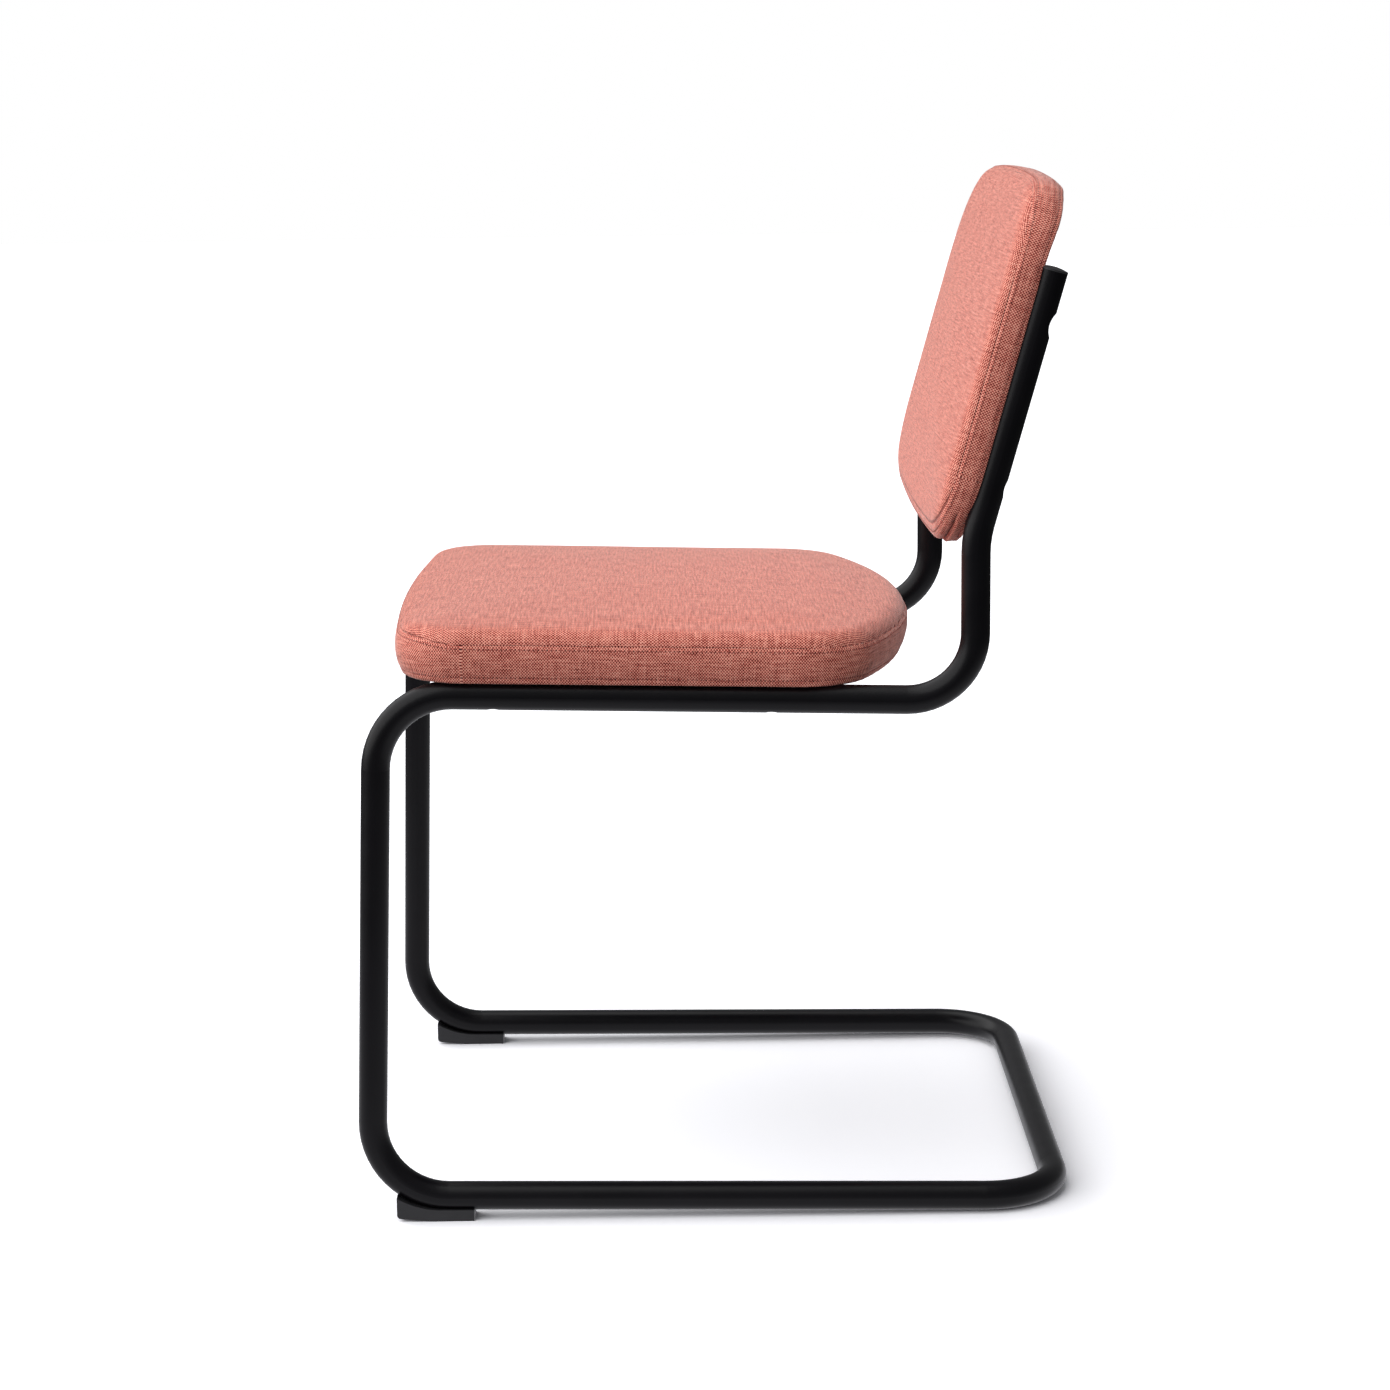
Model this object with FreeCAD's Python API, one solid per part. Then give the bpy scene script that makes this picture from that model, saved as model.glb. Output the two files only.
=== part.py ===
import FreeCAD, Part
import math
import os

# Cantilever dining chair: one bent steel tube frame in two mirrored halves,
# an upholstered seat and an upholstered backrest.
# Millimetres, origin on the floor under the middle of the chair, +Z up,
# the sitter looks towards -Y, +X is the sitter's left.

Vec = FreeCAD.Vector
os.makedirs("parts", exist_ok=True)

# Tube
tube_od = 22.0
tube_wall = 2.0
tube_r = tube_od / 2
bore_r = tube_r - tube_wall

# Side profile of the frame, centrelines of the straight runs
seat_half = 205.0          # half distance between the seat rails and between the uprights
leg_splay = 17.0           # each leg stands this much further out at the floor
rear_splay = 3.0           # and each rear corner this much further out than the leg
floor_half_front = seat_half + leg_splay
floor_half_rear = floor_half_front + rear_splay
rear_bar_y = 265.0         # rear cross bar, which lies on the floor
leg_y_at_floor = -267.6    # front leg line carried down to the floor
leg_lean = 2.02            # degrees, top towards the rear
seat_rail_z = 403.1        # seat rail height at the middle of the chair
seat_slope = 1.41          # degrees, down towards the rear
glide_drop = 0.77          # degrees, floor rails fall from the glides to the rear bar
upright_y = 198.5          # short vertical run behind the seat
back_knee_z = 522.2        # where the uprights start to lean back
back_lean = 15.77          # degrees
upright_run = 205.0        # leaning run above the knee, to the open tube end

front_bend = 58.0          # centreline bend radii
rear_seat_bend = 50.5
back_bend = 85.0

# Sleeve inside the rear bar that joins the two halves
sleeve_length = 70.0
sleeve_wall = 1.5

# Domed plugs in the open tube ends
plug_stem = 12.0
plug_rim = 1.4
plug_dome = 1.8

# Front glides
glide_width = 21.0
glide_tail_y = -188.0
glide_toe_y = -247.5
glide_flat = 34.0          # part of the sole that lies on the floor, from the tail
glide_toe_rise = 2.4
glide_nose = 3.0           # rounding under the toe
glide_wrap = 2.6           # how far the saddle climbs the tube
glide_screw_y = -200.0
glide_screw_d = 4.0
glide_screw_head_d = 8.0
glide_screw_head_h = 2.0
glide_screw_recess = 2.6

# Cover cloth, hem and under cloth
cloth = 1.2
hem = 26.0
under_cloth = 0.8
under_cloth_margin = 14.0  # between the under cloth and the cushion's lower edge
under_cloth_gap = 3.0      # between the under cloth and the tubes

# Plywood boards
board_seat_t = 15.0
board_back_t = 12.0
board_edge_gap = 1.5       # between a board's edge and the cloth at the cushion's lower rim

# Fasteners
bolt_d = 6.0
bolt_clear = 0.6
nut_flange_d = 13.0
nut_flange_t = 1.4
nut_barrel_d = 8.0
nut_barrel_h = 9.0
seat_bolt_head_d = 10.0
seat_bolt_head_h = 4.0
seat_bolt_access = 1.0     # added to the head's diameter for the hole under the rail
seat_bolt_head_gap = 0.25  # between the head and the curve of the bore
seat_bolt_ys = (-165.0, 45.0)
back_bolt_head_d = 11.0
back_bolt_head_h = 3.0
back_bolt_low_run = 41.3   # lower backrest bolts, up the leaning run from the knee
back_bolt_top_gap = 38.6   # upper backrest bolts, down from the open tube end
back_bolt_runs = (back_bolt_low_run, upright_run - back_bolt_top_gap)
dimple_depths = (1.6, 3.6)
dimple_radius = 15.0
bolt_past_nut = 0.0        # the bolts end level with the nut's flange

# Seat cushion, plan and section
seat_overhang = 17.0       # the cushion stands past the rail's centreline on each side
seat_half_w = seat_half + seat_overhang
seat_front_y = -249.0
seat_rear_y = 161.5
seat_front_bow = 2200.0
seat_rear_bow = 456.0
seat_front_corner = 54.0
seat_rear_corner = 64.0
seat_rim_h = 42.0          # height of the edge between side and top
seat_bulge_h = 21.0        # height of the widest line
seat_crown = 8.0           # rise of the top's middle above its edge
seat_foot_inset = 6.0      # the side draws in by this much at the bottom
seat_rim_inset = 16.0      # and by this much at the top edge of the front and rear
seat_side_inset = 16.0     # the same at the top edge of the sides
seat_nest = 0.8            # depth that the rails sink into the underside

pad_steps = 4              # steps in each rounding of a cushion's side
crown_scales = (0.96, 0.88, 0.78, 0.66, 0.52, 0.36, 0.18)    # rings of the domed top

# Backrest cushion, laid out along the leaning uprights
back_overhang = 11.0       # the cushion stands past the upright's centreline on each side
back_half_w = seat_half + back_overhang
back_low_run = -18.5       # lower edge, measured up the leaning run from the knee
back_above_tubes = 67.5    # the upper edge stands above the open tube ends
back_high_run = upright_run + back_above_tubes
back_bow = 3000.0
back_low_corner = 56.0
back_high_corner = 76.0
back_rim_h = 27.0
back_bulge_h = 12.5
back_crown = 8.0
back_foot_inset = 2.5
back_rim_inset = 26.0
back_side_inset = 10.0
back_nest = 4.0


def save(name, shape):
    shape.exportStep("parts/" + name + ".step")


def mirrored(shape):
    return shape.mirror(Vec(0, 0, 0), Vec(1, 0, 0))


def tan_deg(angle):
    return math.tan(math.radians(angle))


def pair(shape):
    return Part.makeCompound([shape, mirrored(shape)])


def fused(shapes):
    whole = shapes[0]
    for shape in shapes[1:]:
        whole = whole.fuse(shape)
    return whole


# Frame centreline


def corner_points():
    """Corners where the straight runs of the left half meet, from the open end to the bar."""
    up = math.radians(back_lean)
    top = Vec(seat_half, upright_y + upright_run * math.sin(up),
              back_knee_z + upright_run * math.cos(up))
    knee = Vec(seat_half, upright_y, back_knee_z)
    rear_seat = Vec(seat_half, upright_y, seat_rail_z - upright_y * tan_deg(seat_slope))
    lean, slope, drop = tan_deg(leg_lean), tan_deg(seat_slope), tan_deg(glide_drop)
    front_seat_y = (leg_y_at_floor + lean * seat_rail_z) / (1 + lean * slope)
    front_seat = Vec(seat_half, front_seat_y, seat_rail_z - front_seat_y * slope)
    front_floor_z = (tube_r + drop * (rear_bar_y - leg_y_at_floor)) / (1 + drop * lean)
    front_floor = Vec(floor_half_front, leg_y_at_floor + lean * front_floor_z, front_floor_z)
    rear_floor = Vec(floor_half_rear, rear_bar_y, tube_r)
    middle = Vec(0, rear_bar_y, tube_r)
    return [top, knee, rear_seat, front_seat, front_floor, rear_floor, middle]


def bent_path(points, radii):
    """Straight runs joined by tangent arcs, one radius for each inner corner."""
    edges = []
    start = points[0]
    for before, here, after, radius in zip(points, points[1:], points[2:], radii):
        a = (before - here).normalize()
        b = (after - here).normalize()
        half = a.getAngle(b) / 2
        reach = radius / math.tan(half)
        middle_dir = (a + b).normalize()
        centre = here + middle_dir * (radius / math.sin(half))
        first, last = here + a * reach, here + b * reach
        edges.append(Part.makeLine(start, first))
        edges.append(Part.Arc(first, centre - middle_dir * radius, last).toShape())
        start = last
    edges.append(Part.makeLine(start, points[-1]))
    return Part.Wire(edges)


corners = corner_points()
path = bent_path(corners, [back_bend, rear_seat_bend, front_bend, front_bend, front_bend])


def swept(radius):
    """The centreline swept with a round section."""
    direction = corners[1] - corners[0]
    ring = Part.Wire(Part.makeCircle(radius, corners[0], direction))
    return path.makePipeShell([ring], True, False)


tube_solid = swept(tube_r)
bore_solid = swept(bore_r)

# Frames of the seat and of the backrest: x across, run along the tube, h out of the tube

seat_tilt = math.radians(-seat_slope)
back_tilt = math.radians(90 - back_lean)


def seat_place(x, run, h):
    """Point over the rails: h is zero on the underside of the seat cushion."""
    y = run * math.cos(seat_tilt)
    rise = h + tube_r - seat_nest
    return Vec(x, y - rise * math.sin(seat_tilt),
               seat_rail_z + run * math.sin(seat_tilt) + rise * math.cos(seat_tilt))


def back_place(x, run, h):
    """Point in front of the uprights: h is zero on the rear of the backrest cushion."""
    rise = h + tube_r - back_nest
    return Vec(x, upright_y + run * math.cos(back_tilt) - rise * math.sin(back_tilt),
               back_knee_z + run * math.sin(back_tilt) + rise * math.cos(back_tilt))


def laid(shape, place, tilt):
    """Moves a shape drawn with h upwards into the seat's or the backrest's frame."""
    out = shape.copy()
    out.rotate(Vec(0, 0, 0), Vec(1, 0, 0), math.degrees(tilt))
    out.translate(place(0, 0, 0))
    return out


# Cushion outlines: straight sides, bowed front and rear, tangent round corners


class Plan:
    """Outline of a cushion in its own plane, which can be inset and scaled."""

    def __init__(self, half_w, low, high, low_bow, high_bow, low_corner, high_corner):
        self.half_w = half_w
        self.ends = ((-1, low, low_bow, low_corner), (1, high, high_bow, high_corner))
        self.middle = (low + high) / 2

    def wire(self, h, inset=0.0, scale=1.0, spread=0.0):
        """Closed outline at height h, as four corners, two bows and two side lines.

        The sides stand out by spread more than the inset alone leaves them.
        """
        def at(x, y):
            return Vec(x * scale, self.middle + (y - self.middle) * scale, h)

        chains = []
        for side, edge_y, bow, corner in self.ends:
            bow_y = edge_y - side * bow
            run = math.sqrt((bow - corner) ** 2 - (self.half_w - corner) ** 2)
            centre = (self.half_w - corner + spread, bow_y + side * run)
            turn = math.atan2(run, self.half_w - corner)
            r = corner - inset

            def on_corner(angle):
                return centre[0] + r * math.cos(angle), centre[1] + side * r * math.sin(angle)

            chains.append((on_corner(0), on_corner(turn / 2), on_corner(turn),
                           (0, edge_y - side * inset)))
        (l0, l1, l2, l3), (h0, h1, h2, h3) = chains

        def arc(a, b, c):
            return Part.Arc(at(*a), at(*b), at(*c)).toShape()

        def flip(p):
            return (-p[0], p[1])

        return Part.Wire([
            Part.makeLine(at(*l0), at(*h0)), arc(h0, h1, h2), arc(h2, h3, flip(h2)),
            arc(flip(h2), flip(h1), flip(h0)), Part.makeLine(at(*flip(h0)), at(*flip(l0))),
            arc(flip(l0), flip(l1), flip(l2)), arc(flip(l2), l3, l2), arc(l2, l1, l0)])

    def slab(self, low_h, high_h, inset):
        """Flat board with this outline."""
        return Part.Face(self.wire(low_h, inset)).extrude(Vec(0, 0, high_h - low_h))


def crowned(plan, foot_inset, bulge_h, rim_h, rim_inset, side_inset, crown, skin=0.0):
    """Closed cushion: sides drawn in above and below the bulge, and a domed top."""
    total = rim_h + crown

    def level(h):
        return skin + h * (total - 2 * skin) / total

    turns = [math.pi / 2 * step / pad_steps for step in range(pad_steps + 1)]
    lower = [(bulge_h * 2 * turn / math.pi, foot_inset * (1 - math.sin(turn))) for turn in turns]
    wires = [plan.wire(level(h), inset + skin) for h, inset in lower]
    spread = rim_inset - side_inset
    for turn in turns[1:]:
        drawn = 1 - math.cos(turn)
        h = bulge_h + (rim_h - bulge_h) * math.sin(turn)
        wires.append(plan.wire(level(h), rim_inset * drawn + skin, 1.0, spread * drawn))
    for scale in crown_scales:
        h = rim_h + crown * (1 - scale ** 2)
        wires.append(plan.wire(level(h), rim_inset + skin, scale, spread))
    return Part.makeLoft(wires, True, True)


seat_plan = Plan(seat_half_w, seat_front_y, seat_rear_y, seat_front_bow, seat_rear_bow,
                 seat_front_corner, seat_rear_corner)
back_plan = Plan(back_half_w, back_low_run, back_high_run, back_bow, back_bow,
                 back_low_corner, back_high_corner)
seat_shape = (seat_foot_inset, seat_bulge_h, seat_rim_h, seat_rim_inset, seat_side_inset,
              seat_crown)
back_shape = (back_foot_inset, back_bulge_h, back_rim_h, back_rim_inset, back_side_inset,
              back_crown)


def rod(place, x, run, low_h, high_h, low_r, high_r=None):
    """Round bar or cone that stands out of the tube between two heights."""
    foot, head = place(x, run, low_h), place(x, run, high_h)
    length = (head - foot).Length
    if high_r is None:
        return Part.makeCylinder(low_r, length, foot, head - foot)
    return Part.makeCone(low_r, high_r, length, foot, head - foot)


def tube_grooves(place, nest, low_run, high_run):
    """The tubes' own shape along a cushion's underside, left and right, between two runs."""
    axis_h = nest - tube_r
    foot, head = place(seat_half, low_run, axis_h), place(seat_half, high_run, axis_h)
    groove = Part.makeCylinder(tube_r, (head - foot).Length, foot, head - foot)
    return pair(groove)


class Cushion:
    """Board, foam, cloth cover and under cloth, with the threaded inserts in the board."""

    def __init__(self, plan, shape, place, tilt, board_t, nest, tube_runs, runs):
        self.place = place
        self.board_low, self.board_high = cloth, cloth + board_t
        outer = crowned(plan, *shape)
        inner = crowned(plan, *shape, skin=cloth)
        board_inset = shape[0] + cloth + board_edge_gap
        board = plan.slab(self.board_low, self.board_high, board_inset)
        opening = plan.slab(-cloth, self.board_low, shape[0] + hem)
        grooves = tube_grooves(place, nest, *tube_runs)
        barrels = self.inserts(runs, nut_barrel_d / 2, -1.0, self.board_high)
        shafts = self.inserts(runs, (bolt_d + bolt_clear) / 2, -tube_od, self.board_high)
        flanges = self.inserts(runs, nut_flange_d / 2, self.board_high,
                               self.board_high + nut_flange_t)
        blind = self.inserts(runs, nut_barrel_d / 2, self.board_high - nut_barrel_h,
                             self.board_high)
        self.board = laid(board, place, tilt).cut(grooves).cut(shafts).cut(blind)
        self.foam = laid(inner.cut(board), place, tilt).cut(grooves).cut(flanges)
        self.cover = laid(outer.cut(inner).cut(opening), place, tilt).cut(grooves).cut(barrels)
        self.nuts = [
            rod(place, x, run, self.board_high - nut_barrel_h, self.board_high, nut_barrel_d / 2)
            .fuse(rod(place, x, run, self.board_high, self.board_high + nut_flange_t,
                      nut_flange_d / 2))
            .cut(rod(place, x, run, 0, self.board_high + 2 * nut_flange_t, bolt_d / 2))
            for x in (seat_half, -seat_half) for run in runs]
        under = plan.slab(-under_cloth, 0.0, shape[0] + under_cloth_margin)
        half = seat_half - tube_r - under_cloth_gap
        low, high = plan_reach(plan)
        strip = Part.makeBox(2 * half, high - low, 2 * under_cloth,
                             Vec(-half, low, -1.5 * under_cloth))
        self.under_cloth = laid(under.common(strip), place, tilt)

    def inserts(self, runs, radius, low_h, high_h):
        """One rod at each bolt, used for holes and pockets."""
        return Part.makeCompound([rod(self.place, x, run, low_h, high_h, radius)
                                  for x in (seat_half, -seat_half) for run in runs])


def plan_reach(plan):
    """Lower and upper end of a cushion's outline."""
    return plan.ends[0][1], plan.ends[1][1]


seat_runs = [y / math.cos(seat_tilt) for y in seat_bolt_ys]
seat = Cushion(seat_plan, seat_shape, seat_place, seat_tilt, board_seat_t, seat_nest,
               (corners[3].y + front_bend, seat_rear_y), seat_runs)
back = Cushion(back_plan, back_shape, back_place, back_tilt, board_back_t, back_nest,
               (back_low_run - back_bend, upright_run + plug_rim + plug_dome), back_bolt_runs)

# Bolts: the seat's heads hide inside the rails, the backrest's lie in dimples behind

seat_axis_h = seat_nest - tube_r
back_axis_h = back_nest - tube_r
seat_head_top = (seat_axis_h - seat_bolt_head_gap
                 + math.sqrt(bore_r ** 2 - (seat_bolt_head_d / 2) ** 2))
nut_top = cloth + nut_flange_t + bolt_past_nut


def seat_bolt(x, run):
    head = rod(seat_place, x, run, seat_head_top - seat_bolt_head_h, seat_head_top,
               seat_bolt_head_d / 2)
    shank = rod(seat_place, x, run, seat_head_top, board_seat_t + nut_top, bolt_d / 2)
    return head.fuse(shank)


def back_bolt(x, run, depth):
    floor_h = back_axis_h - tube_r + depth
    head = rod(back_place, x, run, floor_h, floor_h + back_bolt_head_h,
               back_bolt_head_d / 2, bolt_d / 2)
    shank = rod(back_place, x, run, floor_h + back_bolt_head_h, board_back_t + nut_top,
                bolt_d / 2)
    return head.fuse(shank)


back_stops = list(zip(back_bolt_runs, dimple_depths))
seat_bolts = [seat_bolt(x, run) for x in (seat_half, -seat_half) for run in seat_runs]
back_bolts = [back_bolt(x, run, depth) for x in (seat_half, -seat_half)
              for run, depth in back_stops]

# Tube with its dimples, bolt holes and glide holes


def dimple(run, depth, radius):
    """Roller laid across the back of the upright, which presses the dimple."""
    roller_h = back_axis_h - tube_r + depth - dimple_radius
    foot = back_place(seat_half - tube_od, run, roller_h)
    return Part.makeCylinder(radius, 2 * tube_od, foot, Vec(1, 0, 0))


outer_tube, bore = tube_solid, bore_solid
for run, depth in back_stops:
    bore = bore.cut(dimple(run, depth, dimple_radius + tube_wall))
    outer_tube = outer_tube.cut(dimple(run, depth, dimple_radius))
half_tube = outer_tube.cut(bore)

hole_r = (bolt_d + bolt_clear) / 2
for run in seat_runs:
    half_tube = half_tube.cut(rod(seat_place, seat_half, run, seat_axis_h, 0, hole_r))
    half_tube = half_tube.cut(rod(seat_place, seat_half, run, seat_axis_h - tube_od, seat_axis_h,
                                  (seat_bolt_head_d + seat_bolt_access) / 2))
for run, depth in back_stops:
    floor_h = back_axis_h - tube_r + depth
    half_tube = half_tube.cut(rod(back_place, seat_half, run, floor_h,
                                  floor_h + back_bolt_head_h, back_bolt_head_d / 2, bolt_d / 2))
    half_tube = half_tube.cut(rod(back_place, seat_half, run, floor_h, back_nest, hole_r))

# Front glides, wedges under the front bends, with one screw each

floor_dir = (corners[5] - corners[4]).normalize()


def glide_axis(y):
    """Centreline of the floor rail at a given y."""
    return corners[4] + floor_dir * ((y - corners[4].y) / floor_dir.y)


def glide_block():
    """Side outline of the wedge, extruded across the tube, then seated on the tube."""
    under = tube_r - glide_wrap
    reach = front_bend * math.tan(math.radians(90 - leg_lean - glide_drop) / 2)
    bend_end = corners[4] + floor_dir * reach
    centre = Vec(0, bend_end.y + front_bend * floor_dir.z, bend_end.z + front_bend)
    arc_r = front_bend + under

    def on_arc(y):
        return Vec(0, y, centre.z - math.sqrt(arc_r ** 2 - (y - centre.y) ** 2))

    tail_top = Vec(0, glide_tail_y, glide_axis(glide_tail_y).z - under)
    toe_top = on_arc(glide_toe_y)
    arc_start = on_arc(centre.y)
    bend = Part.Arc(arc_start, on_arc((centre.y + glide_toe_y) / 2), toe_top).toShape()
    nose = [Vec(0, glide_toe_y, glide_toe_rise + glide_nose),
            Vec(0, glide_toe_y + 0.3 * glide_nose, glide_toe_rise + 0.3 * glide_nose),
            Vec(0, glide_toe_y + glide_nose, glide_toe_rise)]
    outline = [Part.makeLine(tail_top, arc_start), bend, Part.makeLine(toe_top, nose[0]),
               Part.Arc(*nose).toShape(),
               Part.makeLine(nose[2], Vec(0, glide_tail_y - glide_flat, 0)),
               Part.makeLine(Vec(0, glide_tail_y - glide_flat, 0), Vec(0, glide_tail_y, 0)),
               Part.makeLine(Vec(0, glide_tail_y, 0), tail_top)]
    side = Part.Face(Part.Wire(Part.__sortEdges__(outline)))
    block = side.extrude(Vec(glide_width, 0, 0))
    block.translate(Vec(glide_axis(glide_screw_y).x - glide_width / 2, 0, 0))
    return block.cut(tube_solid)


def glide_screw():
    """Pan head in the sole's recess, shank through the tube's lower wall."""
    axis = glide_axis(glide_screw_y)
    up = Vec(0, 0, 1)
    head_z = glide_screw_recess - glide_screw_head_h
    head = Part.makeCylinder(glide_screw_head_d / 2, glide_screw_head_h,
                             Vec(axis.x, axis.y, head_z), up)
    shank = Part.makeCylinder(glide_screw_d / 2, axis.z - glide_screw_recess,
                              Vec(axis.x, axis.y, glide_screw_recess), up)
    return head.fuse(shank)


screw_axis = glide_axis(glide_screw_y)
screw_hole = Part.makeCylinder(glide_screw_d / 2, screw_axis.z, Vec(screw_axis.x, screw_axis.y, 0),
                               Vec(0, 0, 1))
sole_recess = Part.makeCylinder(glide_screw_head_d / 2, glide_screw_recess,
                                Vec(screw_axis.x, screw_axis.y, 0), Vec(0, 0, 1))
glide = glide_block().cut(screw_hole).cut(sole_recess)
half_tube = half_tube.cut(screw_hole)

# Plug in the open end of the upright

end_dir = (corners[0] - corners[1]).normalize()


def end_plug():
    """Stem in the bore, rim on the tube's end and a low dome."""
    end = corners[0]
    stem = Part.makeCylinder(bore_r, plug_stem, end - end_dir * plug_stem, end_dir)
    rim = Part.makeCylinder(tube_r, plug_rim, end, end_dir)
    ball_r = (tube_r ** 2 + plug_dome ** 2) / (2 * plug_dome)
    top = end + end_dir * plug_rim
    ball = Part.makeSphere(ball_r, top + end_dir * (plug_dome - ball_r))
    dome = ball.common(Part.makeCylinder(tube_r, 2 * plug_dome, top, end_dir))
    return fused([stem, rim, dome]).removeSplitter()


# Sleeve inside the rear bar

sleeve_start = Vec(-sleeve_length / 2, rear_bar_y, tube_r)
across = Vec(1, 0, 0)
sleeve = Part.makeCylinder(bore_r, sleeve_length, sleeve_start, across).cut(
    Part.makeCylinder(bore_r - sleeve_wall, sleeve_length, sleeve_start, across))

save("frame_tube_left", half_tube)
save("frame_tube_right", mirrored(half_tube))
save("rear_bar_joint_sleeve", sleeve)
save("upright_end_plug_left", end_plug())
save("upright_end_plug_right", mirrored(end_plug()))
save("front_glide_left", glide)
save("front_glide_right", mirrored(glide))
save("front_glide_screws", pair(glide_screw()))
save("seat_plywood_board", seat.board)
save("seat_foam_pad", seat.foam)
save("seat_fabric_cover", seat.cover)
save("seat_under_cloth", seat.under_cloth)
save("seat_threaded_inserts", Part.makeCompound(seat.nuts))
save("seat_fixing_bolts", Part.makeCompound(seat_bolts))
save("backrest_plywood_board", back.board)
save("backrest_foam_pad", back.foam)
save("backrest_fabric_cover", back.cover)
save("backrest_rear_cloth", back.under_cloth)
save("backrest_threaded_inserts", Part.makeCompound(back.nuts))
save("backrest_fixing_bolts", Part.makeCompound(back_bolts))
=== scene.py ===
"""Looks of a cantilever dining chair: black tube frame, coral upholstered seat and backrest.

Metres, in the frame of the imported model: origin on the floor under the chair, +Z up,
-Y the way a sitter faces, +X the sitter's left.
"""

import logging
import math
from dataclasses import dataclass, field
from enum import Enum

import bmesh
import bpy
import numpy as np
from mathutils import Matrix, Vector
from mathutils.bvhtree import BVHTree
from mathutils.kdtree import KDTree


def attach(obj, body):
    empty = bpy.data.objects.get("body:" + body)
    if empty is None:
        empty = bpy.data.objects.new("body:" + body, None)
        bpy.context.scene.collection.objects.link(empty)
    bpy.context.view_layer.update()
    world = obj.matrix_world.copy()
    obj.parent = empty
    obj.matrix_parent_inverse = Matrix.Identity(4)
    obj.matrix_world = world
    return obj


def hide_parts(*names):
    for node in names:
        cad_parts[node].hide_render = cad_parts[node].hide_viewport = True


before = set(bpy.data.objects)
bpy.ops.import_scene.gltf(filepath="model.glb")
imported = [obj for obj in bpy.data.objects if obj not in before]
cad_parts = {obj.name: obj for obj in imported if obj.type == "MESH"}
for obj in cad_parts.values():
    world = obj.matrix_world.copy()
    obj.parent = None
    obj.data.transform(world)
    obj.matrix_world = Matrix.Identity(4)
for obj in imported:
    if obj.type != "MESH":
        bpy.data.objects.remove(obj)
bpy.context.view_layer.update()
BODY = "root"
FAR = 0.02

logging.basicConfig(level=logging.INFO, format="%(message)s")
log = logging.getLogger("chair")

Colour = tuple[float, float, float]


def eased(values: np.ndarray) -> np.ndarray:
    """Returns values held between 0 and 1 and eased at both ends."""
    share = np.clip(values, 0, 1)
    return share * share * (3 - 2 * share)


class Slot(Enum):
    """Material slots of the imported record."""

    FRAME = "frame_powder_coat"
    METAL = "zinc_plated_steel"
    PLASTIC = "black_plastic"
    BOARD = "plywood"
    CLOTH = "upholstery_fabric"
    UNDER = "under_cloth"


# Finishes


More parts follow.
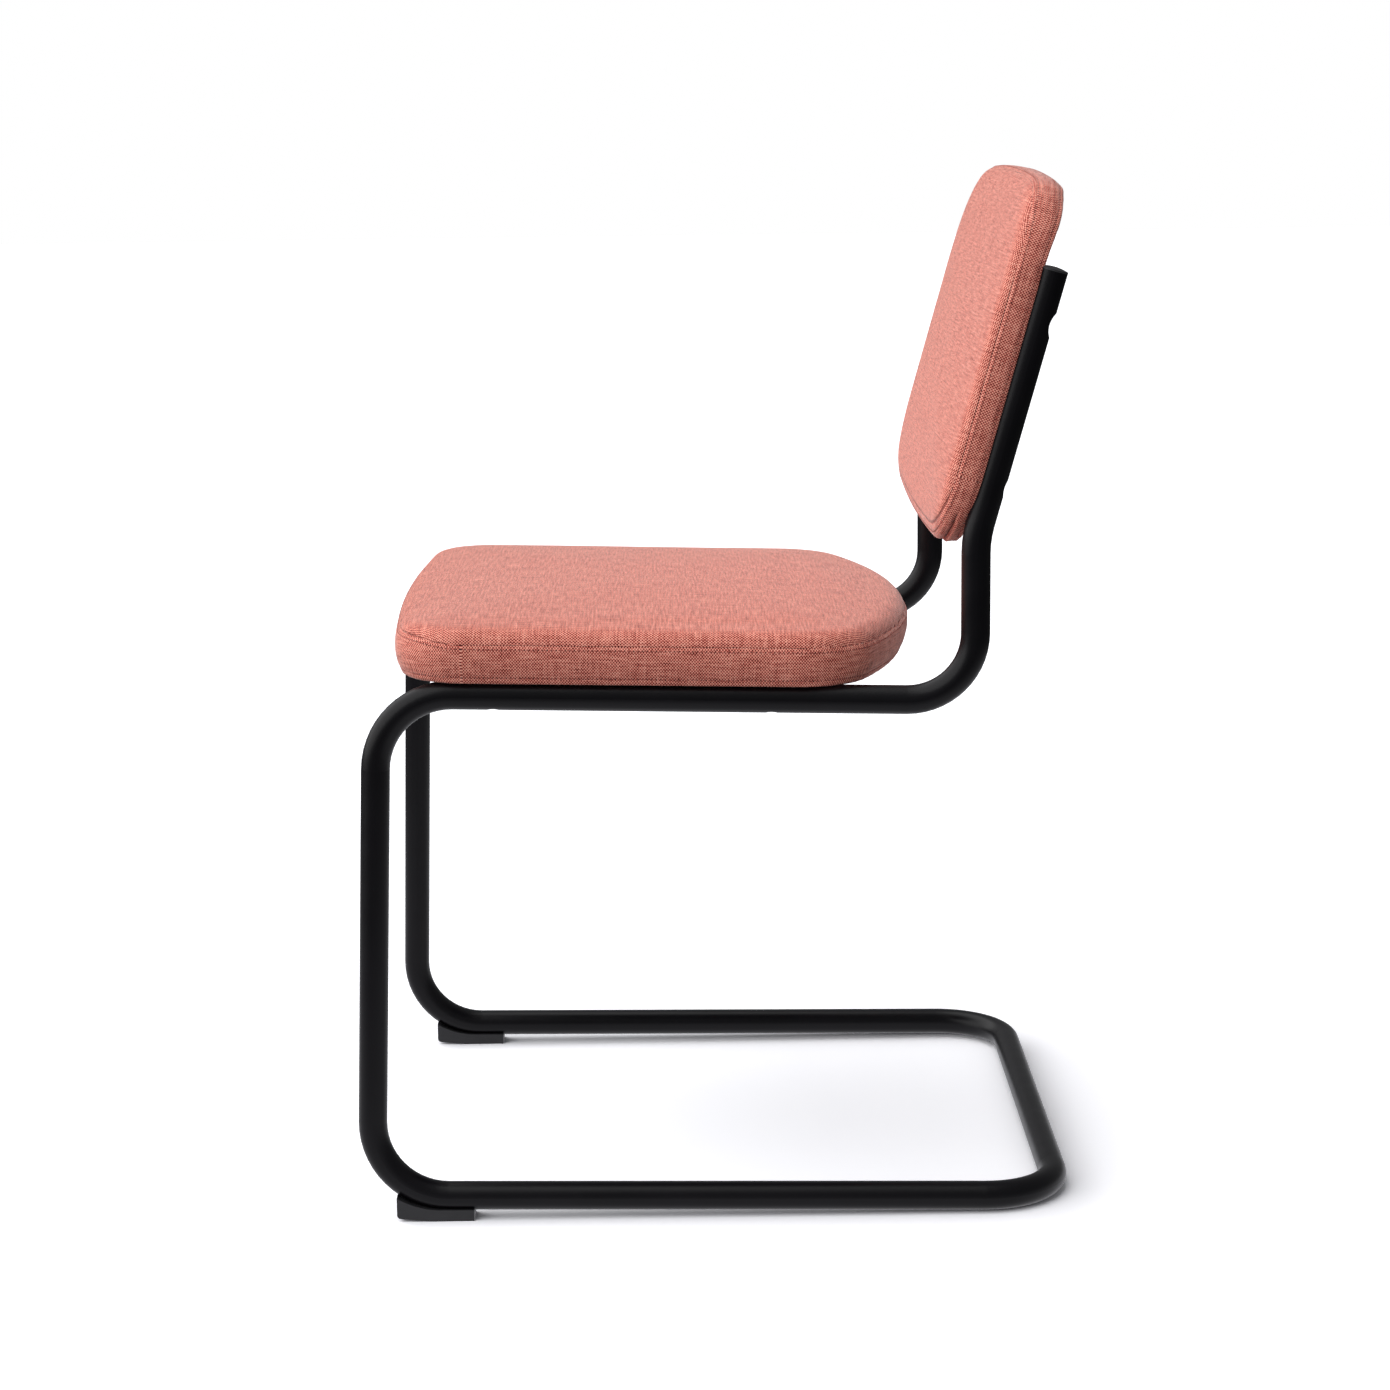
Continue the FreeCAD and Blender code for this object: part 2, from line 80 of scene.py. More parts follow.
class NodeTree:
    """Small helper that adds and links shader nodes of one material."""

    def __init__(self, name: str) -> None:
        """Starts an empty material.

        Args:
            name: The material's name.
        """
        self.material = bpy.data.materials.new(name)
        self.material.use_nodes = True
        self.nodes = self.material.node_tree.nodes
        self.links = self.material.node_tree.links
        self.nodes.clear()
        self.output = self.add("ShaderNodeOutputMaterial")
        self.shader = self.add("ShaderNodeBsdfPrincipled")
        self.links.new(self.shader.outputs["BSDF"], self.output.inputs["Surface"])

    def add(self, kind: str, **settings: object) -> bpy.types.Node:
        """Adds a node and sets its own properties.

        Args:
            kind: Blender's node type.
            **settings: Properties of the node, such as operation.

        Returns:
            The new node.
        """
        node = self.nodes.new(kind)
        for key, value in settings.items():
            setattr(node, key, value)
        return node

    def feed(self, socket: bpy.types.NodeSocket, value: object) -> None:
        """Links a socket to another, or sets its number.

        Args:
            socket: Input of a node.
            value: Socket to link from, or a number.
        """
        if isinstance(value, bpy.types.NodeSocket):
            self.links.new(value, socket)
        else:
            socket.default_value = value

    def math(self, operation: str, *values: object) -> bpy.types.NodeSocket:
        """Adds a Math node.

        Args:
            operation: The node's operation.
            *values: Sockets or numbers for its inputs, in order.

        Returns:
            The node's output socket.
        """
        node = self.add("ShaderNodeMath", operation=operation)
        for socket, value in zip(node.inputs, values):
            self.feed(socket, value)
        return node.outputs["Value"]

    def object_coordinates(self) -> bpy.types.NodeSocket:
        """Returns the piece's own Object coordinates."""
        return self.add("ShaderNodeTexCoord").outputs["Object"]

    def scaled(self, vector: bpy.types.NodeSocket, scale: Colour) -> bpy.types.NodeSocket:
        """Scales a vector by axis with a Mapping node.

        Args:
            vector: Texture coordinates.
            scale: Factor for each axis.

        Returns:
            The scaled coordinates' socket.
        """
        node = self.add("ShaderNodeMapping")
        self.feed(node.inputs["Vector"], vector)
        node.inputs["Scale"].default_value = scale
        return node.outputs["Vector"]

    def noise(self, vector: bpy.types.NodeSocket, scale: float, detail: float = 2.0,
              roughness: float = 0.5) -> bpy.types.NodeSocket:
        """Adds a noise texture.

        Args:
            vector: Texture coordinates.
            scale: Cells per unit of the coordinates.
            detail: Octaves.
            roughness: Share of the finer octaves.

        Returns:
            The noise value's socket.
        """
        node = self.add("ShaderNodeTexNoise")
        self.feed(node.inputs["Vector"], vector)
        node.inputs["Scale"].default_value = scale
        node.inputs["Detail"].default_value = detail
        node.inputs["Roughness"].default_value = roughness
        return node.outputs["Fac"]

    def ramp(self, value: bpy.types.NodeSocket, low: Colour, high: Colour,
             start: float = 0.0, end: float = 1.0) -> bpy.types.NodeSocket:
        """Blends two colours by a value.

        Args:
            value: Socket that drives the blend.
            low: Colour at start.
            high: Colour at end.
            start: Value where the blend begins.
            end: Value where it ends.

        Returns:
            The colour's socket.
        """
        node = self.add("ShaderNodeValToRGB")
        self.feed(node.inputs["Fac"], value)
        node.color_ramp.elements[0].position = start
        node.color_ramp.elements[0].color = (*low, 1.0)
        node.color_ramp.elements[1].position = end
        node.color_ramp.elements[1].color = (*high, 1.0)
        return node.outputs["Color"]

    def bump(self, height: bpy.types.NodeSocket, strength: float, distance: float,
             below: bpy.types.NodeSocket | None = None) -> bpy.types.NodeSocket:
        """Adds a bump node.

        Args:
            height: Height socket.
            strength: Share of the bump.
            distance: Relief in metres.
            below: Normal of a coarser bump underneath.

        Returns:
            The normal's socket.
        """
        node = self.add("ShaderNodeBump")
        node.inputs["Strength"].default_value = strength
        node.inputs["Distance"].default_value = distance
        self.feed(node.inputs["Height"], height)
        if below is not None:
            self.feed(node.inputs["Normal"], below)
        return node.outputs["Normal"]


@dataclass(frozen=True)
class PowderCoat:
    """Satin black powder coat: faint orange peel and uneven gloss."""

    name: str = "satin_black_powder_coat"
    dark: Colour = (0.0022, 0.0019, 0.0028)
    light: Colour = (0.0040, 0.0034, 0.0050)
    specular: float = 0.19
    gloss_low: float = 0.30
    gloss_high: float = 0.40
    peel_scale: float = 900.0
    peel_depth: float = 0.00006

    def build(self) -> bpy.types.Material:
        """Builds the finish.

        Returns:
            The material, with all its nodes.
        """
        tree = NodeTree(self.name)
        place = tree.object_coordinates()
        cloud = tree.noise(place, 14.0, 3.0)
        tree.feed(tree.shader.inputs["Base Color"], tree.ramp(cloud, self.dark, self.light, 0.3, 0.7))
        rough = tree.math("MULTIPLY_ADD", tree.noise(place, 60.0, 4.0),
                          self.gloss_high - self.gloss_low, self.gloss_low)
        tree.feed(tree.shader.inputs["Roughness"], rough)
        tree.shader.inputs["Specular IOR Level"].default_value = self.specular
        peel = tree.noise(place, self.peel_scale, 2.0)
        tree.feed(tree.shader.inputs["Normal"], tree.bump(peel, 0.5, self.peel_depth))
        return tree.material


@dataclass(frozen=True)
class MouldedPlastic:
    """Matt black moulded plastic with a fine eroded grain."""

    name: str = "matt_black_moulded_plastic"
    dark: Colour = (0.0120, 0.0118, 0.0135)
    light: Colour = (0.0210, 0.0205, 0.0230)

    def build(self) -> bpy.types.Material:
        """Builds the finish.

        Returns:
            The material, with all its nodes.
        """
        tree = NodeTree(self.name)
        place = tree.object_coordinates()
        tree.feed(tree.shader.inputs["Base Color"],
                  tree.ramp(tree.noise(place, 40.0, 3.0), self.dark, self.light, 0.3, 0.7))
        grain = tree.noise(place, 2200.0, 2.0)
        tree.feed(tree.shader.inputs["Roughness"], tree.math("MULTIPLY_ADD", grain, 0.16, 0.48))
        tree.feed(tree.shader.inputs["Normal"], tree.bump(grain, 0.6, 0.00005))
        return tree.material


@dataclass(frozen=True)
class ZincPlate:
    """Bright zinc-plated steel with a cloudy spangle."""

    name: str = "zinc_plated_steel"

    def build(self) -> bpy.types.Material:
        """Builds the finish.

        Returns:
            The material, with all its nodes.
        """
        tree = NodeTree(self.name)
        place = tree.object_coordinates()
        tree.shader.inputs["Metallic"].default_value = 1.0
        cloud = tree.noise(place, 300.0, 3.0)
        tree.feed(tree.shader.inputs["Base Color"],
                  tree.ramp(cloud, (0.50, 0.51, 0.53), (0.68, 0.68, 0.67), 0.3, 0.7))
        tree.feed(tree.shader.inputs["Roughness"], tree.math("MULTIPLY_ADD", cloud, 0.2, 0.25))
        return tree.material


@dataclass(frozen=True)
class Plywood:
    """Birch plywood: long grain on the faces, thin plies on the edges."""

    name: str = "birch_plywood"
    pale: Colour = (0.66, 0.48, 0.30)
    dark: Colour = (0.42, 0.27, 0.15)

    def build(self) -> bpy.types.Material:
        """Builds the finish.

        Returns:
            The material, with all its nodes.
        """
        tree = NodeTree(self.name)
        place = tree.object_coordinates()
        grain = tree.noise(tree.scaled(place, (6.0, 90.0, 320.0)), 1.0, 5.0, 0.6)
        tree.feed(tree.shader.inputs["Base Color"], tree.ramp(grain, self.dark, self.pale, 0.3, 0.65))
        tree.shader.inputs["Roughness"].default_value = 0.62
        tree.feed(tree.shader.inputs["Normal"], tree.bump(grain, 0.3, 0.0002))
        return tree.material


@dataclass(frozen=True)
class WovenCloth:
    """Two-tone plain weave: light crowns, dark red pores, uneven yarn and a pale sheen.

    The weave lies on the piece's UV map, in metres. The attributes seam_distance, row_distance
    and arc place the painted shade in the seam, in the closing fold and in the needle holes
    of the stitch rows.
    """

    name: str
    light: Colour = (1.0, 0.47, 0.36)
    middle: Colour = (0.68, 0.135, 0.098)
    dark: Colour = (0.10, 0.008, 0.006)
    warp_pitch: float = 0.00126
    weft_pitch: float = 0.00110
    uv_map: str = "weave"
    sheen: float = 0.55
    seam_width: float = 0.0009
    hole_pitch: float = 0.0034
    hole_width: float = 0.0009
    hole_spread: float = 2.2
    hole_edge: float = 2.0
    wander: float = 0.0011
    wander_scale: float = 90.0
    cell_contrast: float = 1.5
    thread_relief: float = 0.00035
    # Colour of the painted shade in the seam line, the closing fold and the needle holes.
    seam_painted_shade: Colour = (0.28, 0.18, 0.18)

    def weave(self, tree: NodeTree, uv: bpy.types.NodeSocket) -> bpy.types.NodeSocket:
        """Args:
            tree: The material under work.
            uv: Cloth coordinates in metres, V along the warp.

        Returns:
            Socket with one on the crowns and zero in the pores.
        """
        split = tree.add("ShaderNodeSeparateXYZ")
        wander = tree.add("ShaderNodeVectorMath", operation="MULTIPLY_ADD")
        drift = tree.add("ShaderNodeTexNoise")
        tree.feed(drift.inputs["Vector"], uv)
        drift.inputs["Scale"].default_value = self.wander_scale
        drift.inputs["Detail"].default_value = 2.0
        tree.feed(wander.inputs[0], drift.outputs["Color"])
        wander.inputs[1].default_value = (self.wander, self.wander, 0.0)
        tree.feed(wander.inputs[2], uv)
        tree.feed(split.inputs["Vector"], wander.outputs["Vector"])
        across = tree.math("SINE", tree.math("MULTIPLY", split.outputs["X"],
                                             math.pi / self.weft_pitch))
        along = tree.math("SINE", tree.math("MULTIPLY", split.outputs["Y"],
                                            math.pi / self.warp_pitch))
        return tree.math("MULTIPLY_ADD", tree.math("MULTIPLY", across, along), 0.5, 0.5)

    def shadow(self, tree: NodeTree) -> bpy.types.NodeSocket:
        """Adds the painted shade of the seam line, the closing fold and the needle holes.

        Args:
            tree: The material under work.

        Returns:
            Socket with zero in the seam or a hole and one elsewhere.
        """
        seam = tree.add("ShaderNodeAttribute", attribute_name="seam_distance").outputs["Fac"]
        line = tree.math("MINIMUM", tree.math("DIVIDE", tree.math("ABSOLUTE", seam),
                                              self.seam_width), 1.0)
        row = tree.add("ShaderNodeAttribute", attribute_name="row_distance").outputs["Fac"]
        arc = tree.add("ShaderNodeAttribute", attribute_name="arc").outputs["Fac"]
        off = tree.math("DIVIDE", tree.math("ABSOLUTE", row), self.hole_width)
        turn = tree.math("COSINE", tree.math("MULTIPLY", arc, 2 * math.pi / self.hole_pitch))
        between = tree.math("MULTIPLY_ADD", turn, -self.hole_spread, self.hole_edge)
        hole = tree.math("MINIMUM", tree.math("MAXIMUM", off, between), 1.0)
        return tree.math("MULTIPLY", line, tree.math("MAXIMUM", hole, 0.0))

    def build(self) -> bpy.types.Material:
        """Builds the finish.

        Returns:
            The material, with all its nodes.
        """
        tree = NodeTree(self.name)
        uv = tree.add("ShaderNodeUVMap", uv_map=self.uv_map).outputs["UV"]
        cell = self.weave(tree, uv)
        slub = tree.noise(tree.scaled(uv, (900.0, 45.0, 1.0)), 1.0, 3.0, 0.6)
        weft = tree.noise(tree.scaled(uv, (48.0, 640.0, 1.0)), 1.0, 3.0, 0.65)
        mottle = tree.noise(uv, 420.0, 2.0, 0.6)
        fibre = tree.noise(uv, 1700.0, 2.0, 0.6)
        yarn = tree.math("ADD", tree.math("MULTIPLY_ADD", slub, 1.1, -0.55),
                         tree.math("MULTIPLY_ADD", weft, 1.5, -0.75))
        fuzz = tree.math("ADD", tree.math("MULTIPLY_ADD", fibre, 0.9, -0.45),
                         tree.math("MULTIPLY_ADD", mottle, 0.4, -0.2))
        grain = tree.math("ADD", yarn, fuzz)
        tone = tree.math("ADD", tree.math("MULTIPLY_ADD", cell, self.cell_contrast,
                                            (1 - self.cell_contrast) / 2), grain)
        ramp = tree.add("ShaderNodeValToRGB")
        tree.feed(ramp.inputs["Fac"], tone)
        stops = ramp.color_ramp.elements
        stops[0].position, stops[0].color = 0.02, (*self.dark, 1.0)
        stops[1].position, stops[1].color = 0.95, (*self.light, 1.0)
        middle = stops.new(0.45)
        middle.color = (*self.middle, 1.0)
        # Painted shade: the seam line, the closing fold and the needle holes darken the cloth's colour;
        # the same mask drives the groove's bump.
        gap_shade_and_groove = self.shadow(tree)
        shade = tree.add("ShaderNodeMix", data_type="RGBA", blend_type="MULTIPLY")
        shade.inputs["Factor"].default_value = 1.0
        tree.feed(shade.inputs["A"], ramp.outputs["Color"])
        tree.feed(shade.inputs["B"], tree.ramp(gap_shade_and_groove, self.seam_painted_shade, (1.0, 1.0, 1.0), 0.1, 1.0))
        tree.feed(tree.shader.inputs["Base Color"], shade.outputs["Result"])
        tree.shader.inputs["Roughness"].default_value = 0.85
        tree.shader.inputs["Specular IOR Level"].default_value = 0.2
        tree.shader.inputs["Sheen Weight"].default_value = self.sheen
        tree.shader.inputs["Sheen Roughness"].default_value = 0.30
        tree.shader.inputs["Sheen Tint"].default_value = (1.0, 0.90, 0.87, 1.0)
        groove = tree.bump(gap_shade_and_groove, 0.8, 0.0006)
        threads = tree.math("ADD", cell, tree.math("MULTIPLY", grain, 0.8))
        tree.feed(tree.shader.inputs["Normal"], tree.bump(threads, 0.5, self.thread_relief, groove))
        return tree.material


@dataclass(frozen=True)
class SewingThread:
    """Twisted sewing thread in the cloth's colour."""

    name: str = "coral_sewing_thread"

    def build(self) -> bpy.types.Material:
        """Builds the finish.

        Returns:
            The material, with all its nodes.
        """
        tree = NodeTree(self.name)
        place = tree.object_coordinates()
        twist = tree.noise(place, 2600.0, 2.0)
        tree.feed(tree.shader.inputs["Base Color"],
                  tree.ramp(twist, (0.30, 0.06, 0.05), (0.52, 0.15, 0.11), 0.3, 0.7))
        tree.shader.inputs["Roughness"].default_value = 0.7
        tree.feed(tree.shader.inputs["Normal"], tree.bump(twist, 0.6, 0.0002))
        return tree.material


@dataclass(frozen=True)
class SpunCloth:
    """Black non-woven lining with matted fibres and small bonding points."""

    name: str = "black_spun_lining"

    def build(self) -> bpy.types.Material:
        """Builds the finish.

        Returns:
            The material, with all its nodes.
        """
        tree = NodeTree(self.name)
        place = tree.object_coordinates()
        fibre = tree.noise(place, 900.0, 5.0, 0.7)
        points = tree.add("ShaderNodeTexVoronoi", feature="F1")
        tree.feed(points.inputs["Vector"], place)
        points.inputs["Scale"].default_value = 420.0
        tree.feed(tree.shader.inputs["Base Color"],
                  tree.ramp(fibre, (0.010, 0.010, 0.011), (0.045, 0.045, 0.048), 0.35, 0.7))
        tree.shader.inputs["Roughness"].default_value = 0.9
        relief = tree.math("ADD", fibre, tree.math("MULTIPLY", points.outputs["Distance"], 0.6))
        tree.feed(tree.shader.inputs["Normal"], tree.bump(relief, 0.7, 0.0003))
        return tree.material


# Cushions


@dataclass(frozen=True)
class CushionPlan:
    """Outline of a cushion in its own plane: x across, run from front or bottom to the other end."""

    half_width: float
    low: float
    high: float
    low_bow: float
    high_bow: float
    low_corner: float
    high_corner: float

    def outline(self, step: float = 0.0025) -> tuple[np.ndarray, np.ndarray]:
        """Samples the outline, anticlockwise seen from the cushion's top.

        Args:
            step: Distance between samples.

        Returns:
            Points and outward normals, both as rows of (x, run).
        """
        points: list[tuple[float, float]] = []
        normals: list[tuple[float, float]] = []

        def arc(centre: tuple[float, float], radius: float, start: float, stop: float) -> None:
            """Samples an arc between two angles, without its last point.

            Args:
                centre: Middle of the arc.
                radius: Its radius.
                start: First angle.
                stop: Last angle.
            """
            count = max(2, int(abs(stop - start) * radius / step))
            for k in range(count):
                angle = start + (stop - start) * k / count
                points.append((centre[0] + radius * math.cos(angle),
                               centre[1] + radius * math.sin(angle)))
                normals.append((math.cos(angle), math.sin(angle)))

        def side(x: float, start: float, stop: float) -> None:
            """Samples a straight side, without its last point.

            Args:
                x: Place across.
                start: First run.
                stop: Last run.
            """
            count = max(2, int(abs(stop - start) / step))
            for k in range(count):
                points.append((x, start + (stop - start) * k / count))
                normals.append((math.copysign(1.0, x), 0.0))

        def end(edge: float, bow: float, corner: float, sign: int) -> tuple[float, float, float]:
            """Works out one bowed end with its two round corners.

            Args:
                edge: Run of the end's middle.
                bow: Radius of the bow.
                corner: Radius of the corners.
                sign: -1 for the low end, 1 for the high one.

            Returns:
                Run of the bow's centre, run of the corners' centres, and the angle where they meet.
            """
            bow_run = edge - sign * bow
            reach = math.sqrt((bow - corner) ** 2 - (self.half_width - corner) ** 2)
            return bow_run, bow_run + sign * reach, math.atan2(reach, self.half_width - corner)

        low_bow_run, low_run, low_turn = end(self.low, self.low_bow, self.low_corner, -1)
        high_bow_run, high_run, high_turn = end(self.high, self.high_bow, self.high_corner, 1)
        inner_high = self.half_width - self.high_corner
        inner_low = self.half_width - self.low_corner
        side(self.half_width, low_run, high_run)
        arc((inner_high, high_run), self.high_corner, 0.0, high_turn)
        arc((0.0, high_bow_run), self.high_bow, high_turn, math.pi - high_turn)
        arc((-inner_high, high_run), self.high_corner, math.pi - high_turn, math.pi)
        side(-self.half_width, high_run, low_run)
        arc((-inner_low, low_run), self.low_corner, -math.pi, -math.pi + low_turn)
        arc((0.0, low_bow_run), self.low_bow, -math.pi + low_turn, -low_turn)
        arc((inner_low, low_run), self.low_corner, -low_turn, 0.0)
        return np.array(points), np.array(normals)

    @property
    def middle(self) -> float:
        """Run of the cushion's middle."""
        return (self.low + self.high) / 2


@dataclass(frozen=True)
class CushionSection:
    """Side and top of a cushion: heights above its underside, and insets from the outline."""

    foot_inset: float
    bulge: float
    rim: float
    rim_inset: float
    side_inset: float
    crown: float
    seam: float
    seam_rise: float
    stitch_drop: float
    lower_stitch: float

    def seam_height(self, normal: np.ndarray) -> np.ndarray:
        """Height of the seam, which climbs round the corners to the low end.

        Args:
            normal: Outward normals of the outline, as rows of (x, run).

        Returns:
            One height for each row.
        """
        return self.seam + self.seam_rise * eased(-normal[:, 1])

    def drawn(self, height: float) -> float:
        """Share of the rim's inset at a height: none at the bulge, all at the rim."""
        share = min(max((height - self.bulge) / (self.rim - self.bulge), 0.0), 1.0)
        return 1 - math.sqrt(1 - share ** 2)

    def foot(self, height: float) -> float:
        """Inset below the bulge, largest at the underside."""
        return self.foot_inset * (1 - math.sin(min(height / self.bulge, 1.0) * math.pi / 2))


@dataclass(frozen=True)
class CushionPlace:
    """Where a cushion's own plane lies in the chair: run along the tube, height out of it."""

    origin: Vector
    tilt: float

    def matrix(self) -> Matrix:
        """Returns the matrix from (x, run, height) to the chair's frame."""
        return Matrix.Translation(self.origin) @ Matrix.Rotation(self.tilt, 4, "X")


@dataclass(frozen=True)
class CoverSwell:
    """Pressure that swells a cover, and what holds it down."""

    frames: int = 20
    quality: int = 5
    pressure: float = 4.0
    stiffness: float = 22.0
    bending: float = 1.5
    held_height: float = 0.006
    seam_hold: float = 0.75
    seam_reach: float = 0.003
    least_hold: float = 0.02
    most_move: float = 0.0016


@dataclass(frozen=True)
class CoverRelief:
    """Depths, widths and places of the lines that are pressed into a cover."""

    groove_depth: float = 0.0010
    groove_width: float = 0.0016
    ridge_depth: float = 0.0005
    ridge_drop: float = 0.0026
    ridge_width: float = 0.0018
    tuck_depth: float = 0.0006
    slit_width: float = 0.0013
    lip_drop: float = 0.0022
    lip_width: float = 0.0015
    lip_share: float = 0.25
    fold_width: float = 0.0028
    fold_share: float = 0.35
    wave_length: float = 0.031
    roll_run: float = 0.068
    roll_blend: float = 0.045
    roll_inset: float = 0.006
    roll_reach: float = 0.010
    roll_height: float = 0.018


@dataclass
class Cushion:
    """One upholstered cushion: padded cover, seams, stitches and the lining behind."""

    name: str
    plan: CushionPlan
    section: CushionSection
    place: CushionPlace
    cover_node: str
    foam_node: str
    lining_node: str
    board_node: str
    shrink: float = 0.0003
    voxel: float = 0.005
    swell: CoverSwell = CoverSwell()
    lines: CoverRelief = CoverRelief()
    levels: int = 1
    high_open: float = 1.0
    straight_open: float = 0.6
    roll: float = 0.0
    fold_depth: float = 0.0
    fold_height: float = 0.0118
    stitch_length: float = 0.0025
    stitch_pitch: float = 0.0034
    thread_radius: float = 0.00032
    fill: float = 0.85
    materials: dict[Slot, bpy.types.Material] = field(default_factory=dict)

    def build(self) -> list[bpy.types.Object]:
        """Builds and dresses the cushion's pieces.

        Returns:
            The finished pieces, in the chair's frame.
        """
        pad = self.pad_form()
        self.soften(pad)
        self.mark(pad)
        self.relief(pad)
        pad.data.transform(self.place.matrix())
        self.dress(pad, Slot.CLOTH)
        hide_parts(self.cover_node, self.foam_node)
        stitches = self.stitches(pad)
        stitches.data.materials.append(SewingThread().build())
        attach(stitches, BODY)
        lining = self.lining()
        self.dress(lining, Slot.UNDER)
        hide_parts(self.lining_node)
        width, length, area = self.cut_size(lining)
        log.info("%s cut to %.4f x %.4f m, %.5f m2", lining.name, width, length, area)
        return [pad, stitches, lining]

    def dress(self, piece: bpy.types.Object, slot: Slot) -> None:
        """Gives a piece the material of its slot, and its body.

        Args:
            piece: The finished piece.
            slot: Its slot in the record.
        """
        piece.data.materials.clear()
        piece.data.materials.append(self.materials[slot])
        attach(piece, BODY)

    def rings(self) -> list[tuple[float, float, float]]:
        """Lists the pad's rings, from the foot up.

        Returns:
            Height, share of the rim's inset, and scale of each ring.
        """
        s = self.section
        heights = [s.bulge * k / 3 for k in range(4)]
        heights += [s.bulge + (s.rim - s.bulge) * math.sin(math.pi / 2 * k / 6) for k in range(1, 7)]
        made = [(h, s.drawn(h), 1.0) for h in heights]
        made += [(s.rim + s.crown * (1 - k ** 2), 1.0, k) for k in (0.93, 0.84, 0.72, 0.58, 0.42, 0.24)]
        return made

    def ring(self, points: np.ndarray, normals: np.ndarray, height: float, drawn: float,
             scale: float) -> np.ndarray:
        """Places one ring of the pad.

        Args:
            points: The outline.
            normals: Its outward normals.
            height: Height above the underside.
            drawn: Share of the rim's inset.
            scale: Size about the cushion's middle.

        Returns:
            Rows of (x, run).
        """
        s = self.section
        flat = points - normals * (s.foot(height) + s.rim_inset * drawn + self.shrink)
        straight = self.plan.half_width - max(self.plan.low_corner, self.plan.high_corner)
        flat[:, 0] += (s.rim_inset - s.side_inset) * drawn * np.clip(points[:, 0] / straight, -1, 1)
        return flat * scale + np.array([0.0, self.plan.middle * (1 - scale)])

    def pad_form(self) -> bpy.types.Object:
        """Makes the closed pad by bridging its rings, a little smaller than the finished one.

        Returns:
            The pad, evenly meshed, in the cushion's own plane.
        """
        points, normals = self.plan.outline(0.006)
        mesh = bmesh.new()
        loops = []
        for height, drawn, scale in self.rings():
            flat = self.ring(points, normals, height, drawn, scale)
            verts = [mesh.verts.new((x, run, max(height - self.shrink, 0.0))) for x, run in flat]
            loops.append([mesh.edges.new((a, b)) for a, b in zip(verts, verts[1:] + verts[:1])])
        for lower, upper in zip(loops, loops[1:]):
            bmesh.ops.bridge_loops(mesh, edges=lower + upper)
        bmesh.ops.contextual_create(mesh, geom=loops[0])
        bmesh.ops.contextual_create(mesh, geom=loops[-1])
        bmesh.ops.recalc_face_normals(mesh, faces=mesh.faces)
        data = bpy.data.meshes.new(self.name)
        mesh.to_mesh(data)
        mesh.free()
        piece = bpy.data.objects.new(self.name, data)
        bpy.context.scene.collection.objects.link(piece)
        data.remesh_voxel_size = self.voxel
        bpy.context.view_layer.objects.active = piece
        piece.select_set(True)
        bpy.ops.object.voxel_remesh()
        piece.select_set(False)
        return piece

    def held_down(self, rest: np.ndarray) -> np.ndarray:
        """How firmly the board side and the seam hold each vertex of the cover.

        Args:
            rest: Vertex positions as rows.

        Returns:
            One weight for each vertex.
        """
        low = np.clip((self.swell.held_height - rest[:, 2]) / self.swell.held_height, 0, 1)
        away = rest[:, 2] - self.section.seam_height(self.nearest(rest[:, :2])[2])
        seam = np.exp(-((away / self.swell.seam_reach) ** 2)) * self.on_side(rest)
        return np.maximum(low, self.swell.seam_hold * seam)

    def blow_up(self, pad: bpy.types.Object) -> None:
        """Swells the cover by cloth pressure, outwards only and evened over its neighbours.

        Args:
            pad: The pad, which keeps its vertices in order.
        """
        rest = self.coordinates(pad)
        held = pad.vertex_groups.new(name="held")
        for index, weight in enumerate(self.held_down(rest)):
            if weight > self.swell.least_hold:
                held.add([index], float(weight), "REPLACE")
        cloth = pad.modifiers.new("cloth", "CLOTH")
        cloth.settings.quality = self.swell.quality
        cloth.settings.use_pressure = True
        cloth.settings.uniform_pressure_force = self.swell.pressure
        cloth.settings.tension_stiffness = self.swell.stiffness
        cloth.settings.compression_stiffness = self.swell.stiffness
        cloth.settings.bending_stiffness = self.swell.bending
        cloth.settings.vertex_group_mass = held.name
        cloth.settings.effector_weights.gravity = 0.0
        cloth.collision_settings.use_self_collision = False
        cloth.point_cache.frame_start, cloth.point_cache.frame_end = 1, self.swell.frames
        scene = bpy.context.scene
        for number in range(1, self.swell.frames + 1):
            scene.frame_set(number)
        graph = bpy.context.evaluated_depsgraph_get()
        blown = bpy.data.meshes.new_from_object(pad.evaluated_get(graph))
        moved = np.array([v.co for v in blown.vertices]) - rest
        facing = np.zeros(len(moved) * 3)
        pad.data.vertex_normals.foreach_get("vector", facing)
        facing = facing.reshape(-1, 3)
        moved = facing * np.clip((moved * facing).sum(1), 0, self.swell.most_move)[:, None]
        pad.modifiers.clear()
        self.put(pad, rest + self.evened(pad, moved))
        bpy.data.meshes.remove(blown)
        scene.frame_set(1)
        pad.vertex_groups.clear()

    def soften(self, pad: bpy.types.Object) -> None:
        """Swells the cover, then smooths and subdivides it.

        Args:
            pad: The pad, which gets a finer mesh.
        """
        self.blow_up(pad)
        mesh = bmesh.new()
        mesh.from_mesh(pad.data)
        bmesh.ops.smooth_vert(mesh, verts=mesh.verts, factor=0.5, use_axis_x=True,
                              use_axis_y=True, use_axis_z=True)
        mesh.to_mesh(pad.data)
        mesh.free()
        finer = pad.modifiers.new("finer", "SUBSURF")
        finer.levels = finer.render_levels = self.levels
        graph = bpy.context.evaluated_depsgraph_get()
        smooth = bpy.data.meshes.new_from_object(pad.evaluated_get(graph))
        pad.modifiers.clear()
        pad.data = smooth
        pad.data.name = self.name

